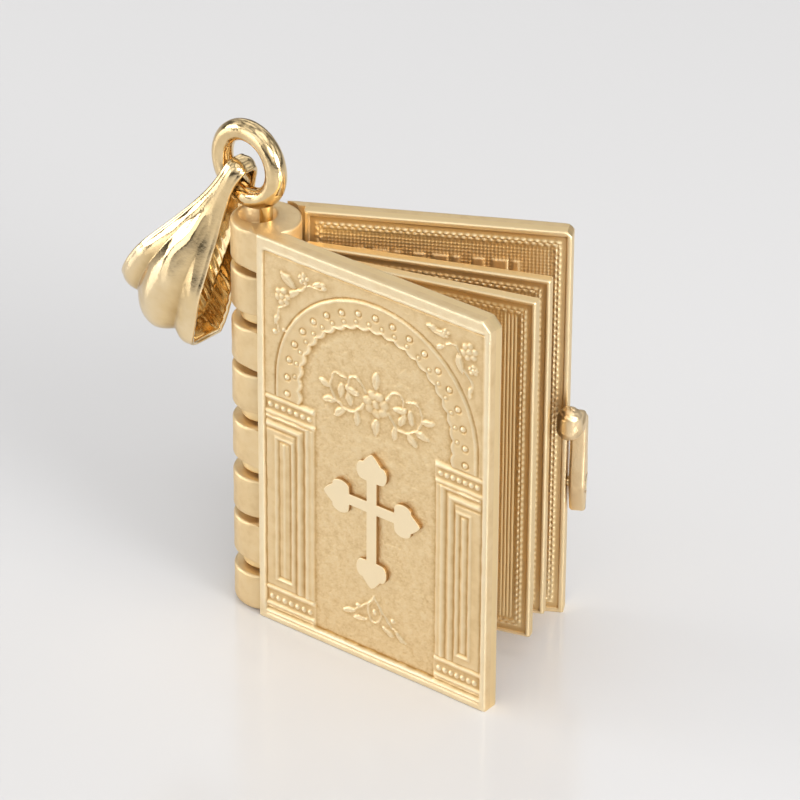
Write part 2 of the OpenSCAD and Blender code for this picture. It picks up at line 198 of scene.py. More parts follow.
def loft(name, rings, body, nodes, finish, sharp=40.0, loop=False, relief=None):
    # Rings of equally many points, joined in turn, with flat caps unless the last ring meets the first
    rings = np.asarray(rings)
    count, around = rings.shape[:2]
    row = np.arange(count if loop else count - 1)[:, None] * around
    up = (row + around) % (count * around)
    k = np.arange(around)[None, :]
    after = (k + 1) % around
    quads = np.stack([row + k, row + after, up + after, up + k], axis=-1)
    caps = [] if loop else [np.arange(around)[::-1], np.arange(around) + (count - 1) * around]
    return makePiece(name, rings, quads, caps, body, nodes, finish, sharp, relief)


def gridLine(start, end, cell, radius):
    # Even steps, with a quarter round of closer ones at each end
    edge = radius * (1 - np.cos(np.radians(np.arange(0, 90, 18))))
    count = int(round((end - start - 2 * radius) / cell))
    return np.concatenate([start + edge, np.linspace(start + radius, end - radius, count + 1),
                           (end - edge)[::-1]])


def roundedEdge(left, right, foot, top, radius):
    # How far a quarter-round rim falls below its face, from the distances to the four sides
    u = np.clip(1 - np.minimum(left, right) / radius, 0, 1)
    v = np.clip(1 - np.minimum(foot, top) / radius, 0, 1)
    return radius * (1 - np.sqrt(1 - np.minimum(u * u + v * v, 1)))


def shrunk(outline, inset):
    # Every point moved inwards, square to the outline
    run = np.roll(outline, -1, axis=0) - np.roll(outline, 1, axis=0)
    inward = np.stack([-run[:, 1], run[:, 0]], axis=1) / np.hypot(run[:, 0], run[:, 1])[:, None]
    return outline + inward * inset


def ripple(u, v, size, seed):
    # Unevenness of a casting: twelve sine waves in random directions, about 1 high, wavelengths near the size
    rng = np.random.default_rng(seed)
    turns = rng.uniform(0, math.tau, 12)
    phases = rng.uniform(0, math.tau, 12)
    stretches = rng.uniform(0.6, 1.6, 12)
    total = np.zeros(np.broadcast(u, v).shape)
    for turn, phase, stretch in zip(turns, phases, stretches):
        total += np.sin((u * math.cos(turn) + v * math.sin(turn)) * math.tau / (size * stretch) + phase)
    return total / 3.5


def blurred(field, cells):
    # Gaussian blur of a height field by its Fourier transform, over a mirrored border
    pad = int(3 * cells)
    wide = np.pad(field, pad, mode="reflect")
    fu = np.fft.fftfreq(wide.shape[0])[:, None]
    fv = np.fft.rfftfreq(wide.shape[1])[None, :]
    kept = np.exp(-2 * (math.pi * cells) ** 2 * (fu * fu + fv * fv))
    soft = np.fft.irfft2(np.fft.rfft2(wide) * kept, wide.shape)
    return soft[pad:-pad, pad:-pad]


def stipple(shape, cells, seed):
    # Blasted grain: random heights, slightly blurred, about 1 high
    field = blurred(np.random.default_rng(seed).standard_normal(shape), cells)
    return field / field.std()


def slab(name, s, z, height, face, base, turn, notched, body, nodes, finish, relief):
    # A worked face over a grid, walls round its rim and a flat back at the depth base. The heights stand out
    # from the face. Where notched, the wall beside the hinge follows the arc that clears the knuckles.
    outward = math.copysign(1, face - base)
    y = face + outward * height
    rows, cols = s.shape
    top = place(s, y, z, turn).reshape(-1, 3)
    index = np.arange(rows * cols).reshape(rows, cols)
    rim = np.concatenate([index[0, :-1], index[:-1, -1], index[-1, :0:-1], index[:0:-1, 0]])
    rimS, rimY, rimZ = s.ravel()[rim], y.ravel()[rim], z.ravel()[rim]
    walls = []
    width = book["width"]
    for share in (0.25, 0.5, 0.75, 1.0):
        wallY = rimY * (1 - share) + base * share
        wallS = rimS
        if notched:
            start = np.maximum(np.sqrt(np.maximum(book["notch"] ** 2 - wallY ** 2, 0)), s[0, 0])
            wallS = width - (width - rimS) * (width - start) / (width - s[0, 0])
        walls.append(place(wallS, wallY, rimZ, turn))
    a, b, c, d = index[:-1, :-1], index[:-1, 1:], index[1:, 1:], index[1:, :-1]
    quads = [np.stack([a, b, c, d], axis=-1).reshape(-1, 4)]
    upper = rim
    for k in range(len(walls)):
        lower = rows * cols + k * len(rim) + np.arange(len(rim))
        quads.append(np.stack([np.roll(upper, -1), upper, lower, np.roll(lower, -1)], axis=-1))
        upper = lower
    points = np.concatenate([top] + walls)
    return makePiece(name, points, np.concatenate(quads), [upper[::-1]], body, nodes, finish, relief=relief)


# Carving strokes, all as heights over s and z in mm
def ridge(distance, halfWidth, height):
    # A rounded moulding: one cosine hump
    return height * np.cos(np.clip(distance / halfWidth, -1, 1) * math.pi / 2) ** 2


def mouldings(distance, lines):
    # Ridges, and grooves where the height is negative, each as (distance, half width, height)
    return sum(ridge(distance - at, halfWidth, height) for at, halfWidth, height in lines)


def step(distance, slope):
    # 0 on the negative side and 1 on the positive side, eased over the slope's width
    t = np.clip(distance / slope + 0.5, 0, 1)
    return t * t * (3 - 2 * t)


def insideBox(s, z, box):
    # Distance inside a rectangle's outline (s0, s1, z0, z1), negative outside
    return np.minimum(np.minimum(s - box[0], box[1] - s), np.minimum(z - box[2], box[3] - z))


def bead(s, z, at, radius, height):
    # A dome
    r = np.hypot(s - at[0], z - at[1]) / radius
    return height * np.sqrt(np.clip(1 - r * r, 0, 1))


def stud(s, z, at, radius, height):
    # A dome in a shallow ring
    groove = np.hypot(s - at[0], z - at[1]) - radius - 0.04
    return bead(s, z, at, radius, height) - ridge(groove, 0.06, height * 0.6)


def petal(s, z, at, turn, length, width, height):
    # A pointed leaf: a half sine wide, rounded across, with a vein along its middle
    a = math.radians(turn)
    u = ((s - at[0]) * math.cos(a) + (z - at[1]) * math.sin(a)) / length
    v = (z - at[1]) * math.cos(a) - (s - at[0]) * math.sin(a)
    half = width / 2 * np.sin(math.pi * np.clip(u, 0, 1)) ** 0.8 + 1e-6
    body = np.sqrt(np.clip(1 - (v / half) ** 2, 0, 1)) * (u > 0) * (u < 1)
    return height * body * (1 - 0.4 * np.exp(-(v / 0.035) ** 2))


def stem(s, z, points, width, height):
    # A rounded line on a smooth curve through a few points (Catmull-Rom), tapering to its end
    p = np.array([points[0]] + list(points) + [points[-1]], float)
    t = np.linspace(0, 1, 7)[:-1, None]
    spans = []
    for a, b, c, d in zip(p, p[1:], p[2:], p[3:]):
        spans.append(0.5 * (2 * b + (c - a) * t + (2 * a - 5 * b + 4 * c - d) * t ** 2
                            + (3 * b - a - 3 * c + d) * t ** 3))
    line = np.concatenate(spans + [p[-1:]])
    best = np.full(s.shape, 9.0)
    for k, (a, b) in enumerate(zip(line[:-1], line[1:])):
        run = b - a
        u = np.clip(((s - a[0]) * run[0] + (z - a[1]) * run[1]) / max(run @ run, 1e-9), 0, 1)
        reach = np.hypot(s - a[0] - u * run[0], z - a[1] - u * run[1])
        best = np.minimum(best, reach / (1 - 0.5 * (k + u) / len(line)))
    return ridge(best, width / 2, height)


def rosette(s, z, at, radius, petals, height):
    # Rounded petals about an eye
    h = bead(s, z, at, radius * 0.34, height)
    for k in range(petals):
        a = math.tau * (k + 0.3) / petals
        centre = (at[0] + radius * 0.66 * math.cos(a), at[1] + radius * 0.66 * math.sin(a))
        h = np.maximum(h, bead(s, z, centre, radius * 0.36, height * 0.85))
    return h


# Front cover: outlines as (s0, s1, z0, z1), lines for mouldings(), domes as (radius, height)
frontDesign = dict(
    ground=-0.05,                       # spandrels
    field=-0.12,                        # blasted field inside the arch
    grain=0.0022, fieldGrain=0.0045,
    inner=(1.0, 11.92, 0.45, 17.42),    # inside the margins
    arch=(6.6, 11.8),                   # centre
    archOut=4.95, archIn=3.84, archFoot=10.88, archLevel=-0.045,
    archLines=((0, 0.08, 0.04), (0.13, 0.07, -0.05)),
    teeth=20,                           # of the arch's scalloped inner edge, over half a turn
    scallopLines=((0.08, 0.08, 0.03), (-0.05, 0.06, -0.04)),
    archStud=(0.11, 0.065), toothStud=(0.07, 0.04), toothStudsAt=4.08,
    opening=(3.52, 9.6, 0.52, 10.95),
    columns=((1.06, 3.46), (9.66, 11.86)), shaft=(1.75, 9.92), columnLevel=-0.045,
    columnLines=((0.3, 0.13, 0.05), (0.49, 0.08, -0.04), (0.7, 0.12, 0.045), (0.9, 0.08, -0.04)),
    panelLines=((0, 0.1, 0.04), (0.14, 0.07, -0.04)), filletLine=(0, 0.1, 0.035),
    capital=(10.02, 10.38, 10.74), plinth=(0.8, 1.15, 1.6), blockLevel=-0.09,
    blockLine=(0.16, 0.065), blockBead=(0.12, 0.07), blockBeads=7,
    footLines=((0.44, 0.1, 0.015), (0.58, 0.06, -0.035), (0.3, 0.06, -0.035)),
    headLines=((17.5, 0.09, 0.02), (17.4, 0.05, -0.035)),
    spineLine=(0.98, 0.07, -0.07), spineRun=(0.75, 17.35),
    edgeLine=(11.96, 0.05, -0.03), edgeRun=(0.5, 17.3),
    cornerHeight=0.08, titleHeight=0.075, footHeight=0.07,
)
# Sprays as (kind, place, further sizes), from the corner that each fills
leftSpray = [
    ("rosette", (1.95, 15.62), 0.4, 6), ("petal", (2.62, 16.2), 146, 0.98, 0.44),
    ("rosette", (3.03, 16.78), 0.27, 5), ("petal", (2.3, 15.78), 35, 0.6, 0.3),
    ("stem", [(2.35, 15.95), (2.9, 16.25), (3.3, 16.55), (3.95, 16.62)], 0.16),
    ("petal", (3.45, 16.66), 20, 0.7, 0.26), ("bead", (4.05, 16.72), 0.12),
    ("stem", [(2.15, 15.3), (1.78, 15.0), (1.68, 14.5), (1.78, 13.95)], 0.15), ("bead", (1.58, 13.9), 0.13),
    ("petal", (1.74, 14.75), 250, 0.55, 0.22), ("bead", (2.02, 14.1), 0.1),
]
rightSpray = [
    ("rosette", (11.2, 16.42), 0.42, 6), ("petal", (10.2, 16.7), 168, 1.15, 0.36),
    ("rosette", (10.05, 16.86), 0.2, 5),
    ("stem", [(10.1, 16.4), (10.5, 16.5), (10.75, 16.2), (10.8, 15.7)], 0.16),
    ("petal", (10.62, 16.15), 288, 0.85, 0.34), ("rosette", (11.42, 15.66), 0.24, 5),
    ("stem", [(10.95, 15.5), (11.25, 15.25), (11.38, 14.9), (11.3, 14.45)], 0.15),
    ("petal", (11.3, 14.9), 262, 0.6, 0.22), ("petal", (10.0, 16.3), 215, 0.5, 0.24),
]
# Where a title would stand: scrolled branches with broad leaves on both sides of a rosette
titleMiddle = 6.6
titleSpray = [("rosette", (titleMiddle, 12.3), 0.62, 7), ("petal", (titleMiddle, 12.95), 90, 0.85, 0.42),
              ("petal", (titleMiddle, 11.65), 270, 0.8, 0.4)]
titleStems = ((0.2, ((0.6, 12.1), (1.15, 11.55), (1.85, 11.7), (2.3, 12.35), (2.05, 13.05), (1.5, 12.95))),
              (0.17, ((0.5, 12.7), (0.95, 13.2), (1.35, 13.05), (1.35, 12.65))))
titleLeaves = ((1.0, 11.72, 262, 0.75), (1.5, 11.6, 318, 0.8), (1.95, 11.8, 345, 0.75), (2.22, 12.3, 15, 0.7),
               (1.2, 11.75, 70, 0.7), (1.78, 11.95, 95, 0.75), (0.85, 12.45, 5, 0.7))
for side in (-1, 1):
    for width, points in titleStems:
        titleSpray.append(("stem", [(titleMiddle + side * x, y) for x, y in points], width))
    for x, y, turn, length in titleLeaves:
        mirrored = turn if side > 0 else 180 - turn
        titleSpray.append(("petal", (titleMiddle + side * x, y), mirrored, length, 0.34))
    titleSpray.append(("bead", (titleMiddle + side * 1.42, 12.55), 0.14))
# Under the cross: a small tent of two sprays about a drop
footSpray = [
    ("stem", [(6.55, 3.2), (6.22, 2.6), (6.35, 2.12), (6.55, 2.0), (6.8, 2.15), (6.9, 2.6), (6.55, 3.2)],
     0.14),
    ("stem", [(6.4, 2.95), (5.95, 2.55), (5.5, 2.2), (5.0, 2.05)], 0.15),
    ("stem", [(6.7, 2.95), (7.15, 2.4), (7.65, 1.95), (8.15, 1.6)], 0.15),
    ("petal", (5.6, 2.2), 200, 0.66, 0.26), ("petal", (7.55, 2.0), 322, 0.72, 0.26),
    ("petal", (6.2, 2.0), 190, 0.7, 0.24), ("petal", (6.95, 1.95), 335, 0.7, 0.24),
    ("bead", (5.72, 2.5), 0.1), ("bead", (7.5, 2.42), 0.1), ("bead", (6.56, 2.5), 0.12),
]


def carve(s, z, spray, height):
    # The highest of all strokes of a spray, slightly wavering as hand-cut dies are
    h = np.zeros(s.shape)
    s, z = s + 0.02 * ripple(s, z, 0.5, 31), z + 0.02 * ripple(s, z, 0.5, 32)
    strokes = dict(rosette=rosette, petal=petal, bead=bead, stem=stem)
    for kind, at, *sizes in spray:
        h = np.maximum(h, strokes[kind](s, z, at, *sizes, height * (0.8 if kind == "stem" else 1)))
    return h


def frontRelief(s, z):
    # Height of the front cover's face over its margins. Lines waver a little.
    f = frontDesign
    s, z = s + 0.005 * ripple(s, z, 0.9, 41), z + 0.005 * ripple(s, z, 0.9, 42)
    inFrame = step(insideBox(s, z, f["inner"]), 0.1)
    grit = stipple(s.shape, 0.45, 11) + 0.6 * stipple(s.shape, 1.6, 12)
    h = (f["ground"] + f["grain"] * grit) * inFrame
    # Arch, straight below its centre down to the capitals
    cs, cz = f["arch"]
    radius = np.where(z > cz, np.hypot(s - cs, z - cz), np.abs(s - cs))
    angle = np.where(z > cz, np.arctan2(z - cz, s - cs), (z - cz) / f["archIn"])
    above = step(z - f["archFoot"], 0.05)
    scallop = f["archIn"] - 0.12 * np.abs(np.cos(angle * f["teeth"]))
    band = step(f["archOut"] - 0.05 - radius, 0.06) * step(radius - scallop, 0.07) * above
    h = h * (1 - band) + f["archLevel"] * band
    h += mouldings(radius - f["archOut"], f["archLines"]) * above
    h += mouldings(radius - scallop, f["scallopLines"]) * above
    middle = (f["archOut"] + f["archIn"]) / 2 + 0.06
    for k in range(-8, 9):
        a = math.radians(90 + 11 * k)
        h += stud(s, z, (cs + middle * math.cos(a), cz + middle * math.sin(a)), *f["archStud"])
    for side in (-1, 1):
        h += stud(s, z, (cs + side * middle, cz - 0.62), *f["archStud"])
    for k in range(f["teeth"]):
        a = (k + 0.5) * math.pi / f["teeth"]
        at = (cs + f["toothStudsAt"] * math.cos(a), cz + f["toothStudsAt"] * math.sin(a))
        h += stud(s, z, at, *f["toothStud"])
    # Blasted field
    opening = np.maximum(np.minimum(scallop - radius, z - f["archFoot"]), insideBox(s, z, f["opening"]))
    inField = step(opening, 0.08)
    h = h * (1 - inField) + (f["field"] + f["fieldGrain"] * grit) * inField
    # Columns: two mouldings, open towards the foot and the cover's edge, round a panel with a fillet, between
    # bands with a row of beads
    foot, head = f["shaft"]
    for left, right in f["columns"]:
        onLeft = left < cs
        depth = insideBox(s, z, (left, right, foot, head))
        inside = step(depth, 0.06)
        openSide = insideBox(s, z, (left - 2 * onLeft, right + 2 * (not onLeft), foot - 2, head + 0.25))
        panelLeft = left + (0.5 if onLeft else 1.05)
        panelRight = right - (1.05 if onLeft else 0.5)
        panel = insideBox(s, z, (panelLeft, panelRight, foot + 0.4, head - 1.0))
        fillet = mouldings(s - (panelLeft + panelRight) / 2, [f["filletLine"]]) * step(panel - 0.2, 0.1)
        shaft = mouldings(openSide, f["columnLines"]) + mouldings(panel, f["panelLines"]) + fillet
        h = h * (1 - inside) + inside * (f["columnLevel"] + shaft) - ridge(depth + 0.04, 0.07, 0.045)
        for low, mid, high in (f["capital"], f["plinth"]):
            block = step(insideBox(s, z, (left - 0.05, right + 0.06, low - 0.12, high + 0.16)), 0.06)
            bands = ridge(z - low, *f["blockLine"]) + ridge(z - high, *f["blockLine"])
            places = np.linspace(left + 0.2, right - 0.2, f["blockBeads"])
            beads = sum(bead(s, z, (x, mid), *f["blockBead"]) for x in places)
            h = h * (1 - block) + block * (f["blockLevel"] + bands + beads)
    # Lines along the foot, head, spine and fore-edge
    alongS = step(s - 1.02, 0.05) * step(11.92 - s, 0.05)
    h += (mouldings(z, f["footLines"]) + mouldings(z, f["headLines"])) * alongS
    for line, (low, high) in ((f["spineLine"], f["spineRun"]), (f["edgeLine"], f["edgeRun"])):
        h += mouldings(s, [line]) * step(z - low, 0.2) * step(high - z, 0.2)
    for spray, height in ((leftSpray, f["cornerHeight"]), (rightSpray, f["cornerHeight"]),
                          (titleSpray, f["titleHeight"]), (footSpray, f["footHeight"])):
        h += carve(s, z, spray, height)
    h += 0.003 * ripple(s, z, 0.8, 43)
    return h


def coverGrid(start, cell, radius, corner):
    # Grid over a cover, whose upper rows draw in along the cut corner, and its rim's fall
    width, height, still = book["width"], book["height"], book["cutFrom"]
    s, z = np.meshgrid(gridLine(start, width, cell, radius), gridLine(0, height, cell, radius))
    cut = np.clip(z - height + corner, 0, None)
    s = np.where(s > still, still + (s - still) * (width - still - cut) / (width - still), s)
    # Square to the cut, which runs at 45 degrees
    right = (width - cut - s) * np.where(cut > 0, 0.7, 1)
    return s, z, roundedEdge(s - start, right, z, height - z, radius)


def cavity(h, cells, scale):
    # How far each point stands above the blurred surface, from -1 in a hollow to 1 on a ridge
    return np.clip((h - blurred(h, cells)) / scale, -1, 1)


def frontOuter():
    # The carved face, on a grid of 0.05 mm
    s, z, fall = coverGrid(book["edgeStart"], 0.05, 0.1, book["cornerCut"])
    carved = frontRelief(s, z)
    h = carved - fall + 0.006 * ripple(s, z, 5, 3)
    # Tone: the margins are paler, and ridges lighter and hollows darker as painted highlight and painted
    # shade
    margin = 1 - step(insideBox(s, z, frontDesign["inner"]), 0.1)
    tone = cavity(carved - 0.3 * fall, 3, 0.05) + 0.55 * margin
    slab("frontCarving", s, z, h, -book["faceOut"], -book["faceMid"], book["frontTurn"], True, "front",
         ["front_cover"], "satin", tone)
    print("front cover's carving:", s.size, "points")


frontOuter()


# Cross: four arms that end in buds, lapped flat
cross = dict(
    at=(6.5, 7.49), up=2.52, side=2.43, down=3.83,      # centre and lengths of the arms
    arm=0.25,                                           # half width of a plain arm
    wedge=0.82, wedgeReach=0.52,                        # tip: its slope and length
    budAt=0.86, budReach=0.42, budNeck=0.48, budSwell=0.28,
    top=1.515, foot=1.28, bevel=0.02,                   # depths from the hinge axis
)


def armHalfWidth(tau):
    # Half width at a distance from the tip: a blunt wedge, then a round bud, then the plain arm
    c = cross
    wedge = c["wedge"] * tau ** 0.75 * (tau < c["wedgeReach"])
    fromBud = np.abs(tau - c["budAt"]) / c["budReach"]
    bud = (c["budNeck"] + c["budSwell"] * np.sqrt(np.clip(1 - fromBud ** 2, 0, None))) * (fromBud < 1)
    return np.maximum(np.maximum(wedge, bud), c["arm"] * (tau > 0.3))


def makeCross():
    # One arm's outline from its root to the tip and back, four times round
    outline = []
    for quarter, reach in enumerate((cross["side"], cross["up"], cross["side"], cross["down"])):
        u = np.concatenate([np.linspace(cross["arm"], reach - 1.45, 8), reach - np.linspace(1.4, 0.06, 54)])
        half = armHalfWidth(reach - u)
        along = np.concatenate([u, [reach], u[:0:-1]])
        across = np.concatenate([-half, [0], half[:0:-1]])
        a = quarter * math.pi / 2
        outline.append(np.stack([along * math.cos(a) - across * math.sin(a),
                                 along * math.sin(a) + across * math.cos(a)], axis=1))
    outline = np.concatenate(outline)
    rings = []
    top = cross["top"]
    for inset, y in ((0, cross["foot"]), (0, top - 0.03), (0.3, top - 0.01), (1, top)):
        shape = shrunk(outline, cross["bevel"] * inset)
        rings.append(place(shape[:, 0] + cross["at"][0], -y, shape[:, 1] + cross["at"][1], book["frontTurn"]))
    # Its walls are painted dark, a painted shadow along its edges, and its top a little paler as painted
    # highlight
    wallTone = np.repeat([-1, -0.8, 0.0, 0.3], len(outline))
    loft("cross", rings, "front", ["front_cover"], "lapped", 30, False, wallTone)
    print("cross:", len(outline), "points round")


makeCross()


# Pages: inner faces of the covers and both faces of the leaves
page = dict(
    rim=0.03, sunk=0.07,
    rope=0.4, ropePitch=0.28, ropeHeight=0.06, ropeApart=0.14,
    fieldFrom=0.6, pillow=0.034, plainDrop=0.01, pillowFoot=0.015,
    margin=1.1, headRoom=1.3, barTop=-0.02,
)


def pageRelief(s, z, box, rows, reach, head, lines):
    # A rim, a braid of two rows of beads and a grid of little pillows, three grid lines each, which run
    # together to lines at the fore-edge. Rows of plain bars stand in the grid as far as reach, and over them
    # may stand one tall row, the head.
    p = page
    depth = insideBox(s, z, box)
    sideways = np.minimum(s - box[0], box[1] - s) < np.minimum(z - box[2], box[3] - z)
    along = np.where(sideways, z, s)
    h = -p["sunk"] * step(depth - p["rim"], 0.06)
    for side in (0, 1):
        beads = np.abs(np.sin(math.pi * (along / p["ropePitch"] + side / 2))) ** 0.7
        h += ridge(depth - p["rope"] + p["ropeApart"] * (0.5 - side), 0.1, p["ropeHeight"]) * beads
    column = np.arange(s.shape[1])[None, :]
    line = np.arange(s.shape[0])[:, None]
    plain = box[1] - s < lines
    pillows = (column % 3 > 0) * ((line % 3 > 0) | plain)
    pillow = (p["pillow"] - p["plainDrop"] * plain) * pillows - p["pillowFoot"]
    h += pillow * step(depth - p["fieldFrom"], 0.04)
    foot = box[2] + p["margin"]
    top = box[3] - p["margin"] - (p["headRoom"] if head else 0)
    rowPitch = (top - foot) / rows
    bars = []
    for k in range(rows):
        low, high = foot + (k + 0.3) * rowPitch, foot + (k + 0.7) * rowPitch
        split = box[0] + (reach - box[0]) * (0.38 + 0.12 * (k % 3))
        bars += [(box[0] + 1, split - 0.2, low, high), (split + 0.2, reach, low, high)]
    if head:
        bars += [(left, left + 0.3 + 0.16 * (k % 3), top + 0.4, top + 1.1)
                 for k, left in enumerate(np.arange(box[0] + 1, reach - 0.6, 0.8))]
    for bar in bars:
        h = h + (p["barTop"] - h) * step(insideBox(s, z, bar), 0.12)
    return h


def makePage(name, design, cell, face, base, turn, rows, head, body, node):
    outer, notched, radius = design["outer"], design["notched"], 0.09
    if notched:
        s, z, fall = coverGrid(outer[0], cell, radius, book["cornerCut" if body == "front" else "backCut"])
    else:
        s, z = np.meshgrid(gridLine(*outer[:2], cell, radius), gridLine(*outer[2:], cell, radius))
        fall = roundedEdge(s - outer[0], outer[1] - s, z - outer[2], outer[3] - z, radius)
    carved = pageRelief(s, z, design["page"], rows, design["reach"], head, design["lines"])
    h = carved - fall + 0.008 * ripple(s, z, 4, len(name))
    # Tone from two sizes of cavity: hollows darker and ridges lighter as painted shade and painted highlight,
    # the wide one darkening the sunk channels
    tone = 0.15 + 0.4 * cavity(carved, 3, 0.06) + 0.6 * cavity(carved, 7, 0.06)
    slab(name, s, z, h, face, base, turn, notched, body, [node], "milled", tone)
    print(name + ":", s.size, "points")


# Inner faces of the covers, then the leaves: outline and milled field (s0, s1, z0, z1), the bars' reach and
# the width of the lines
innerFace = dict(outer=(1.41, 12.2, 0, 18), page=(1.6, 12.02, 0.18, 17.8), reach=11, lines=0, notched=True)
leaf = dict(outer=(1.6, 11.7, 1.15, 16.85), page=(1.76, 11.56, 1.29, 16.71), reach=9.4, lines=1.2,
            notched=False, thick=0.5, gap=0.05)
makePage("frontInside", innerFace, 0.06, -book["faceIn"], -book["faceMid"], book["frontTurn"], 9, False,
         "front", "front_cover")
makePage("backInside", innerFace, 0.05, book["faceIn"], book["faceMid"], 0, 8, True, "back", "back_cover")
for name, near, turn, body in (("leafTwo", leaf["gap"], book["leafTwoTurn"], "leaf_two"),
                               ("leafOne", -leaf["gap"] - leaf["thick"], book["leafOneTurn"], "leaf_one")):
    middle = near + leaf["thick"] / 2
    for faceName, face, cell in (("Front", near, 0.05), ("Behind", near + leaf["thick"], 0.065)):
        makePage(name + faceName, leaf, cell, face, middle, turn, 8, False, body, body)


# Back of the book, plain
backDesign = dict(panel=(0.95, 11.75, 0.4, 17.25), ground=-0.09, grain=0.006,
                  lines=((0.55, 0.16, 0.09), (0.85, 0.08, 0.05)))


def backOuter():
    # A blasted ground inside one framed panel
    s, z, fall = coverGrid(book["edgeStart"], 0.1, 0.13, book["backCut"])
    depth = insideBox(s, z, backDesign["panel"])
    carved = (backDesign["ground"] + backDesign["grain"] * stipple(s.shape, 0.6, 5)) * step(depth, 0.1)
    carved += mouldings(depth, backDesign["lines"])
    h = carved - fall + 0.008 * ripple(s, z, 5, 8)
    # Tone from the carving's cavity: painted shade in its hollows and painted highlight on its ridges
    slab("backPanel", s, z, h, book["faceOut"], book["faceMid"], 0, True, "back", ["back_cover"], "satin",
         cavity(carved, 2, 0.05))


backOuter()


# Hinge: knuckles with rounded ends, the leaves' lugs between them and the pin through all
hinge = dict(
    radius=1.44, webOut=1.4, webIn=0.66, roundEnd=0.14, footEnd=0.34, endPlay=0.03,
    lugGap=0.7, plainGap=0.33, lugsTwo=(4, 7), lugsOne=(2, 5), lugHeight=0.4, lugRadius=1.08,
    cupRadius=0.78, cupBack=0.43, cupDepth=0.9, pinRadius=0.46, pinFoot=0.54, neckRadius=0.29,
)
lugged = hinge["lugsTwo"] + hinge["lugsOne"]
knuckleHeight = (book["height"] - 4 * hinge["lugGap"] - 3 * hinge["plainGap"]) / 8
knuckleFoot = {}
level = book["height"]
for number in range(1, 9):
    level -= knuckleHeight
    knuckleFoot[number] = level
    level -= hinge["lugGap"] if number in lugged else hinge["plainGap"]


def keyhole(radius, low, high, web, webShare=1.0):
    # Outline of a barrel with a web: a circle, left where it meets y = high and y = low. Angles place each
    # point on a round opening, shares say how far it draws in at the ends, falling to the web's over three.
    first = math.asin(high / radius)
    last = math.asin(low / radius) + math.tau
    arc = np.linspace(first, last, 57)
    outline = np.concatenate([np.stack([radius * np.cos(arc), radius * np.sin(arc)], axis=1), np.array(web)])
    angles = np.concatenate([arc, np.linspace(last, first + math.tau, len(web) + 2)[1:-1]])
    fromWeb = np.minimum(np.arange(len(arc)), np.arange(len(arc))[::-1])
    shares = 1 - (1 - webShare) * np.clip(1 - np.concatenate([fromWeb, np.zeros(len(web))]) / 3, 0, 1)
    return outline, angles, shares[:, None]


def barrel(name, shape, foot, top, edges, turn, body, node, finish, cup=None):
    # The outline carried up z, with quarter-round ends and an open cup in its top if asked
    outline, angles, share = shape
    quarter = np.radians(np.linspace(0, 90, 6))
    levels = [(edges[0] * (1 - math.sin(a)), foot + edges[0] * (1 - math.cos(a))) for a in quarter]
    levels += [(0.012 * math.sin(7 * up + foot) ** 2, foot + (top - foot) * up) for up in (0.35, 0.5, 0.65)]
    levels += [(edges[1] * (1 - math.sin(a)), top - edges[1] * (1 - math.cos(a))) for a in quarter[::-1]]
    rings = [shrunk(outline, inset * share) for inset, z in levels]
    heights = [z for inset, z in levels]
    if cup:
        radius, depth = cup
        for wider, sink in ((0.05, 0), (0, 0.05), (-0.02, depth - 0.1), (-0.12, depth)):
            r = radius + wider
            rings.append(np.stack([r * np.cos(angles) - hinge["cupBack"], r * np.sin(angles)], axis=1))
            heights.append(top - sink)
    rings = [place(ring[:, 0], ring[:, 1], z, turn) for ring, z in zip(rings, heights)]
    loft(name, rings, body, [node], finish, 50)


def makeHinge():
    # Odd knuckles are the front cover's. Each web runs in under its cover's face.
    out, back = hinge["webOut"], hinge["webIn"]
    web = np.array([(0.62, -out), (0.85, -out), (0.9, -1.24), (1.5, -1.2), (1.42, -back - 0.1)])
    frontShape = keyhole(hinge["radius"], -out, -back, web, 0)
    backShape = keyhole(hinge["radius"], back, out, web[::-1] * (1, -1), 0)
    for number, foot in knuckleFoot.items():
        top = foot + knuckleHeight
        edges = [hinge["roundEnd"], hinge["roundEnd"]]
        if number == 1:
            top -= hinge["endPlay"]
        if number == 8:
            foot += hinge["endPlay"]
            edges[0] = hinge["footEnd"]
        shape, turn, body, node = ((frontShape, book["frontTurn"], "front", "front_cover") if number % 2
                                   else (backShape, 0, "back", "back_cover"))
        cup = (hinge["cupRadius"], hinge["cupDepth"]) if number == 1 else None
        barrel("knuckle%d" % number, shape, foot, top, edges, turn, body, node, "satin", cup)
    reach = leaf["outer"][0] + 0.04
    for leafName, numbers, low, turn in (
            ("leaf_two", hinge["lugsTwo"], leaf["gap"], book["leafTwoTurn"]),
            ("leaf_one", hinge["lugsOne"], -leaf["gap"] - leaf["thick"], book["leafOneTurn"])):
        high = low + leaf["thick"]
        web = [(1.2, low), (reach, low), (reach, high), (1.2, high)]
        for number in numbers:
            foot = knuckleFoot[number] - (hinge["lugGap"] + hinge["lugHeight"]) / 2
            barrel("lug%d" % number, keyhole(hinge["lugRadius"], low, high, web), foot,
                   foot + hinge["lugHeight"], [0.06, 0.06], turn, leafName, leafName, "milled")
    print("hinge: 8 knuckles and 4 lugs")


makeHinge()


def revolved(name, profile, centre, axes, around, body, node, finish):
    # A profile of (radius, height) turned about an axis: axes holds two directions across it and the axis
    a = np.linspace(0, math.tau, around, endpoint=False)
    acrossOne, acrossTwo, axis = (np.asarray(v, float) for v in axes)
    spokes = np.cos(a)[:, None] * acrossOne + np.sin(a)[:, None] * acrossTwo
    rings = [placed(np.asarray(centre) + r * spokes + h * axis) for r, h in profile]
    loft(name, rings, body, [node], finish, 45)


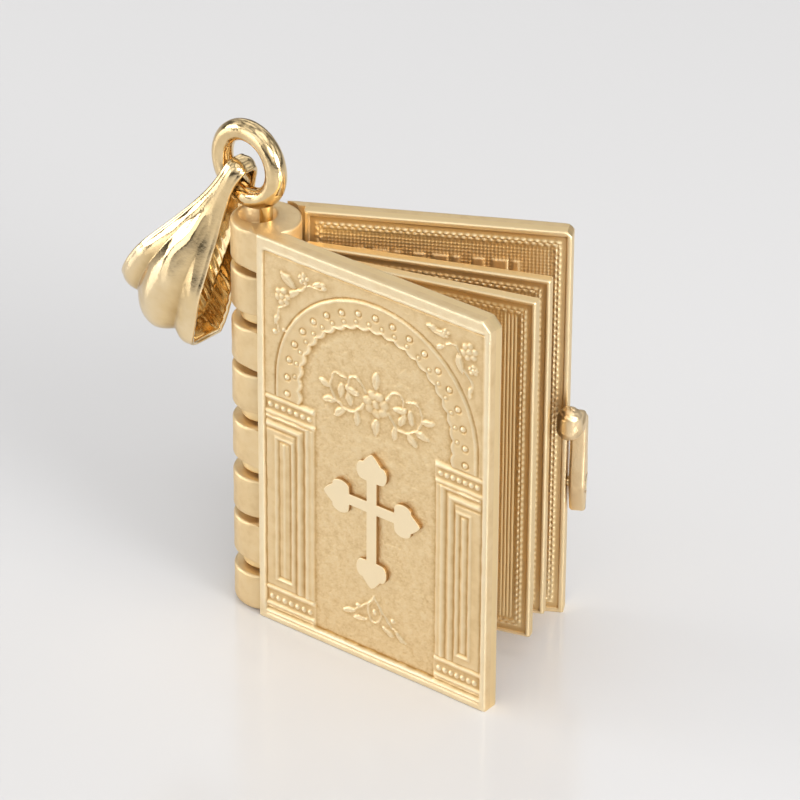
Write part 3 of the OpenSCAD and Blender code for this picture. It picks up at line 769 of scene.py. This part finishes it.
# Jump ring: round wire, soldered to the pin's neck. It lies in a plane turned from the back cover's.
ring = dict(wire=0.455, radius=1.47, turn=33.0, rise=0.54, joint=38.0)
ringTurn = math.radians(ring["turn"])
ringDir = np.array([math.cos(ringTurn), -math.sin(ringTurn), 0])
ringAxis = np.array([math.sin(ringTurn), math.cos(ringTurn), 0])
up = np.array([0, 0, 1.0])
ringLevel = book["height"] + ring["rise"] + ring["radius"]
ringCentre = up * ringLevel - ringDir * ring["radius"] * math.sin(math.radians(ring["joint"]))


def makeRing():
    # The wire's section carried round, a little thinner in places, as hand-finished wire is
    t = np.linspace(0, math.tau, 144, endpoint=False)[:, None]
    a = np.linspace(0, math.tau, 40, endpoint=False)[None, :]
    wire = ring["wire"] * (1 - 0.015 * (1 + np.sin(3 * t + 1.2 * np.sin(a)))
                           - 0.012 * np.abs(ripple(t * 1.5 + 0 * a, np.sin(a) * 0.8, 0.9, 51)).clip(0, 1))
    reach = (ring["radius"] + wire * np.cos(a))[..., None]
    spoke = np.cos(t)[..., None] * ringDir + np.sin(t)[..., None] * up
    points = ringCentre + reach * spoke + (wire * np.sin(a))[..., None] * ringAxis
    loft("jumpRing", placed(points), "back", ["hinge_pin"], "polished", 60, True)
    # Pin with its neck, which flares with solder where it meets the wire
    cupFloor = book["height"] - hinge["cupDepth"]
    neckTop = ringLevel - ring["radius"] * math.cos(math.radians(ring["joint"]))
    pinProfile = [(hinge["pinRadius"] - 0.1, hinge["pinFoot"]), (hinge["pinRadius"], hinge["pinFoot"] + 0.1),
                  (hinge["pinRadius"], cupFloor - 0.1), (hinge["pinRadius"] - 0.06, cupFloor - 0.05)]
    for share in np.linspace(0, 1, 12):
        flare = 0.02 * math.cos(math.pi * share) ** 2
        height = cupFloor - 0.05 + (neckTop - 0.1 - cupFloor) * share
        pinProfile.append((hinge["neckRadius"] - 0.02 + flare, height))
    revolved("pin", pinProfile, (0, 0, 0), ((1, 0, 0), (0, 1, 0), (0, 0, 1)), 40, "back", "hinge_pin",
             "polished")
    print("jump ring and pin")


makeRing()


# Latch: a leaf-shaped plate on a rivet, whose top bends forward to a ball drawn out along it
latch = dict(
    x=12.29, outer=12.97, y=book["faceMid"], z=6.2,
    # Height over the rivet and half width there
    halfWidths=((-1.38, 0), (-1.34, 0.1), (-1.0, 0.24), (-0.6, 0.42), (0, 0.6), (0.7, 0.52), (1.4, 0.43),
                (2.2, 0.4), (2.8, 0.4), (3.05, 0.33), (3.2, 0.16), (3.25, 0)),
    bore=0.26, seat=0.42, seatFloor=12.78, edge=0.15,
    arm=0.33, armAt=3.11, ball=0.565, ballAt=(12.36, 0.0, 3.21), smallEnd=0.525, drawnOut=0.38,
    # Radius and distance from the hinge axis
    rivet=((0.21, 11.95), (0.21, 12.84), (0.33, 12.84), (0.355, 12.87), (0.355, 12.95), (0.32, 12.985),
           (0.2, 12.998)),
)


def makeLatch():
    # Plate: a section carried round its outline, from the bore over the rivet's seat and the outer face to
    # the rounded rim and back. Every point of the bore lies on a ray to the outline.
    table = np.array(latch["halfWidths"])
    turn = np.linspace(-math.pi / 2, math.pi / 2, 60)
    z = (table[0, 0] + table[-1, 0]) / 2 + (table[-1, 0] - table[0, 0]) / 2 * np.sin(turn)
    half = np.interp(z, table[:, 0], table[:, 1])
    half = np.pad(half, 2, mode="reflect", reflect_type="odd")
    half = np.convolve(half, (0.1, 0.2, 0.4, 0.2, 0.1), "valid")
    outline = np.concatenate([np.stack([half, z], axis=1)[:-1], np.stack([-half, z], axis=1)[:0:-1]])
    ray = outline / np.hypot(outline[:, 0], outline[:, 1])[:, None]
    sections = [(ray * latch["bore"], latch["x"]), (ray * latch["bore"], latch["seatFloor"]),
                (ray * latch["seat"], latch["seatFloor"]), (ray * latch["seat"], latch["outer"] - 0.03),
                (ray * (latch["seat"] + 0.03), latch["outer"])]
    quarter = [latch["edge"] * (1 - np.array([math.sin(a), math.cos(a)]))
               for a in np.radians(range(0, 91, 18))]
    sections += [(shrunk(outline, inset), latch["outer"] - sink) for inset, sink in quarter]
    sections += [(shrunk(outline, inset), latch["x"] + sink) for sink, inset in quarter]
    rings = [place(x, latch["y"] + shape[:, 0], latch["z"] + shape[:, 1]) for shape, x in sections]
    loft("latchPlate", rings, "latch", ["latch"], "tumbled", 35, True)
    # Arm: a rounded oblong section carried forward from the plate to the ball
    a = np.linspace(0, math.tau, 32, endpoint=False)
    middle = (latch["x"] + latch["outer"]) / 2
    sideways, upwards = (np.sign(w) * np.abs(w) ** 0.6 for w in (np.cos(a), np.sin(a)))
    rings = []
    for y, size in ((latch["y"] + 0.1, 0.8), (latch["y"] - 0.1, 0.94), (0.6, 1), (0.3, 0.96), (0, 0.8)):
        x = middle + (latch["outer"] - middle) * size * sideways
        rings.append(place(x, y, latch["z"] + (latch["armAt"] + latch["arm"] * size * upwards)))
    loft("latchArm", rings, "latch", ["latch"], "tumbled", 50)
    # Ball: two spheres of different size with the cone that touches both, by the elevation of the surface
    rise = np.radians(np.linspace(-86, 86, 35))
    small = np.sin(rise) > (latch["ball"] - latch["smallEnd"]) / latch["drawnOut"]
    radius = np.where(small, latch["smallEnd"], latch["ball"])[:, None]
    centre = latch["ballAt"][2] + np.where(small, latch["drawnOut"], 0)[:, None]
    dints = ripple(rise[:, None] * 2 + np.cos(a), np.sin(a)[None, :] * 1.3, 1.0, 21)
    flats = 1 - 0.1 * np.abs(dints).clip(0, 1)
    reach = radius * flats * np.cos(rise)[:, None]
    loft("latchBall", place(latch["ballAt"][0] + reach * np.cos(a), latch["ballAt"][1] + reach * np.sin(a),
                            latch["z"] + centre + radius * flats * np.sin(rise)[:, None]),
         "latch", ["latch"], "tumbled", 60)
    revolved("rivet", latch["rivet"], (0, latch["y"], latch["z"]), ((0, 1, 0), (0, 0, 1), (1, 0, 0)), 32,
             "back", "back_cover", "polished")
    print("latch, ball and rivet")


makeLatch()


# Bail: one band of metal bent into a loop, narrow at its neck, with three lobes towards its wide end
bail = dict(
    length=8.4, neck=0.9, wide=4.4, band=0.32, lip=0.15,
    lean=25.0, hold=35.0, neckOut=1.25,         # degrees from upright, degrees round the ring, reach past it
    front=(0.95, 1.2), back=(0.9, -0.6),        # depth of each wall at the neck, and what it gains
    groove=0.55, flute=0.32, fluteFall=0.45, lobe=0.16, lobeFall=0.2, stroke=0.055,
    rows=260, columns=97,
)


def ease(x):
    # Smooth step from 0 to 1, three squares less two cubes
    c = np.clip(x, 0, 1)
    return c * c * (3 - 2 * c)


def makeBail():
    # t runs once round the loop, from the neck down the front wall to the wide end and back up, and v across.
    # Each point is the loop's middle line plus a lift square to it: half the band, the flutes and the dents.
    hold, lean = math.radians(bail["hold"]), math.radians(bail["lean"])
    start = ringCentre - ring["radius"] * (ringDir * math.sin(hold) + up * math.cos(hold))
    down = -ringDir * math.sin(lean) - up * math.cos(lean)
    side = ringDir * math.cos(lean) - up * math.sin(lean)

    def along(t):
        return bail["length"] / 2 * (1 - np.cos(t)) - bail["neckOut"]

    def loopPoint(t):
        # Front wall swells away from the ring's plane, back wall runs back towards it
        a = along(t)
        s = np.sin(t)
        full = 0.55 - 0.3 * ease((a - 3) / 4)
        front = -(bail["front"][0] + bail["front"][1] * ease(a / 5)) * np.clip(s, 0, 1) ** full
        back = (bail["back"][0] + bail["back"][1] * ease(a / 6)) * np.clip(-s, 0, 1) ** full
        return np.stack([a, np.where(s >= 0, front, back)], axis=-1)

    t = (np.arange(bail["rows"]) + 0.5)[:, None] * math.tau / bail["rows"]
    flat = np.linspace(-1, 1, bail["columns"])
    one, none = np.ones(len(flat)), np.zeros(len(flat))
    lipTurn = np.radians(np.linspace(90, -90, 9)[1:-1])     # seven columns round each rim off
    v = np.concatenate([flat, np.ones(7), flat[::-1], -np.ones(7)])[None, :]
    outSide = np.concatenate([none, np.cos(lipTurn), none, -np.cos(lipTurn)])[None, :]
    skin = np.concatenate([one, np.sin(lipTurn), -one, -np.sin(lipTurn)])[None, :]
    a = along(t)
    fade = ease((a - 1.5) / 4.5)
    wave = np.abs(np.cos(math.pi / 2 * (np.abs(v) / bail["groove"]) ** 1.2))
    wave = np.sqrt(wave * wave + 0.006)
    flute = bail["flute"] * fade * wave - bail["fluteFall"] * ease((a + 0.2) / 4) * v * v
    lobe = bail["lobe"] * ease((a - 4) / 3) * wave - bail["lobeFall"] * ease((a - 3) / 4) * v * v
    outer = bail["band"] / 2 + flute - 0.1 * (1 - ease((a + 0.2) / 3)) * v * v
    inner = -bail["band"] / 2 + 0.6 * flute
    lift = (outer + inner) / 2 + skin * (outer - inner) / 2
    dents = 0.5 + 0.5 * ripple(a + 0 * v, v * 2.5 + 7 * (np.sin(t) > 0), 1.8, 17).clip(-1, 1)
    strokes = 0.5 - 0.5 * np.sin(math.tau * (2.0 * a - 1.1 * v))
    lift = lift - bail["stroke"] * skin * ease((a + 0.4) / 3) * np.where(skin > 0, dents, strokes * fade)
    widening = ease((a + 0.6) / (bail["length"] - 0.8)) ** 0.85
    halfWidth = bail["neck"] / 2 + (bail["wide"] - bail["neck"]) / 2 * widening
    small = math.radians(1.5)
    run = loopPoint(t + small) - loopPoint(t - small)
    run = run / np.linalg.norm(run, axis=-1, keepdims=True)
    normal = np.stack([run[..., 1], -run[..., 0]], axis=-1)
    p = loopPoint(t) + normal * lift[..., None]
    across = (halfWidth - bail["lip"]) * v + bail["lip"] * outSide
    points = (start + down * (p[..., 0] + lobe)[..., None] + ringAxis * p[..., 1][..., None]
              + side * across[..., None])
    # Tone along the flutes: paler crests and darker valleys, painted highlight and painted shade
    relief = (wave - 0.6) * fade * 1.2 * np.ones(skin.shape)
    piece = loft("bailLoop", placed(points), "bail", ["bail"], "polished", 70, True, relief)
    print("bail:", len(piece.data.polygons), "faces")


makeBail()


# Stage: a pale, slightly glossy sheet under a light tent
def compass(azimuth, elevation):
    # Direction from degrees, azimuth 0 in front and 90 on the right
    a, e = math.radians(azimuth), math.radians(elevation)
    return np.array([math.sin(a) * math.cos(e), -math.cos(a) * math.cos(e), math.sin(e)])


def makeStage():
    r = stage["floorReach"]
    mesh = bpy.data.meshes.new("floorSheet")
    mesh.from_pydata([(-r, -r, 0), (r, -r, 0), (r, r, 0), (-r, r, 0)], [], [(0, 1, 2, 3)])
    floor = addObject("floorSheet", mesh)
    material = bpy.data.materials.new("acrylicWhite")
    material.use_nodes = True
    shader = material.node_tree.nodes["Principled BSDF"]
    shader.inputs["Base Color"].default_value = linear(stage["floor"])
    shader.inputs["Roughness"].default_value = stage["floorRough"]
    mesh.materials.append(material)
    world = bpy.data.worlds.new("lightTent")
    bpy.context.scene.world = world
    world.use_nodes = True
    tree = world.node_tree
    tree.nodes.clear()
    # Brightness by height, dim over the floor and white overhead, with a room's darker patches round it
    direction = addNode(tree, "ShaderNodeTexCoord").outputs["Generated"]
    height = addNode(tree, "ShaderNodeSeparateXYZ", None, {"Vector": direction}).outputs["Z"]
    ramp = addNode(tree, "ShaderNodeValToRGB", None, {"Fac": height})
    stops = ramp.color_ramp.elements
    for at, grey in stage["sky"]:
        stops.new(at).color = (grey, grey, grey, 1)
    for end in (0, -1):
        stops.remove(stops[end])
    scale, dark, bright = stage["patches"]
    room = addNode(tree, "ShaderNodeTexNoise", {"Scale": scale, "Detail": 1.0}, {"Vector": direction})
    share = addNode(tree, "ShaderNodeMapRange", {
        "From Min": 0.38, "From Max": 0.62, "To Min": dark, "To Max": bright}, {"Value": room.outputs["Fac"]})
    power = addNode(tree, "ShaderNodeMath", {"operation": "MULTIPLY", 1: stage["skyStrength"]},
                    {0: share.outputs[0]})
    background = addNode(tree, "ShaderNodeBackground", None, {
        "Color": ramp.outputs["Color"], "Strength": power.outputs[0]})
    addNode(tree, "ShaderNodeOutputWorld", None, {"Surface": background.outputs[0]})
    for name, turn, rise, far, size, power in stage["lights"]:
        light = bpy.data.lights.new(name, "AREA")
        light.shape = "DISK"
        light.size = size
        light.energy = power
        lamp = addObject(name, light)
        toward = compass(turn, rise)
        lamp.matrix_world = lookFrom(toward * far + np.array(stage["lit"]), toward, 0)


def lookFrom(eye, back, roll):
    # Placing matrix of a camera or lamp at eye that looks against back, rolled clockwise by some degrees
    back = np.asarray(back) / np.linalg.norm(back)
    right = np.cross((0, 0, 1), back)
    right /= np.linalg.norm(right)
    over = np.cross(back, right)
    r = math.radians(roll)
    columns = (math.cos(r) * right + math.sin(r) * over, math.cos(r) * over - math.sin(r) * right, back, eye)
    return Matrix([[c[k] for c in columns] for k in range(3)] + [(0, 0, 0, 1)])


# Lights as (name, azimuth, elevation, distance, size, watts), pointed at the place lit
stage = dict(
    floor="#DAD9D9", floorRough=0.16, floorReach=1.5,
    sky=((0.02, 0.16), (0.18, 0.4), (0.4, 0.98), (0.98, 1.08)),
    skyStrength=0.86, patches=(2.6, 0.2, 1.5),    # scale, darkest and brightest share
    lit=(0, 0, 0.009),
    lights=(("keySoftbox", -94, 14, 0.6, 0.3, 0.8), ("fillSoftbox", -58, 8, 0.7, 0.4, 0.7),
            ("topSoftbox", 10, 80, 0.6, 0.4, 0.3), ("frontSoftbox", 22, 36, 0.7, 0.3, 0.9),
            ("rightSoftbox", 55, 18, 0.7, 0.4, 3.6)),
)
makeStage()

# Camera at the photograph's angle: a long lens, a little above the book
view = dict(azimuth=8.9, elevation=31.047, roll=0.346, far=211.62, target=(5.432, 0.0, 9.979), lens=235.56)
camera = bpy.data.cameras.new("camera")
camera.sensor_width = 36.0
camera.lens = view["lens"]
camera.clip_start = 0.01
camera.clip_end = 10
cameraObject = addObject("camera", camera)
toEye = compass(view["azimuth"], view["elevation"])
aim = place(*view["target"])
cameraObject.matrix_world = lookFrom(aim + toEye * view["far"] * mm, toEye, view["roll"])
bpy.context.scene.camera = cameraObject
bpy.context.scene.view_settings.view_transform = "Standard"
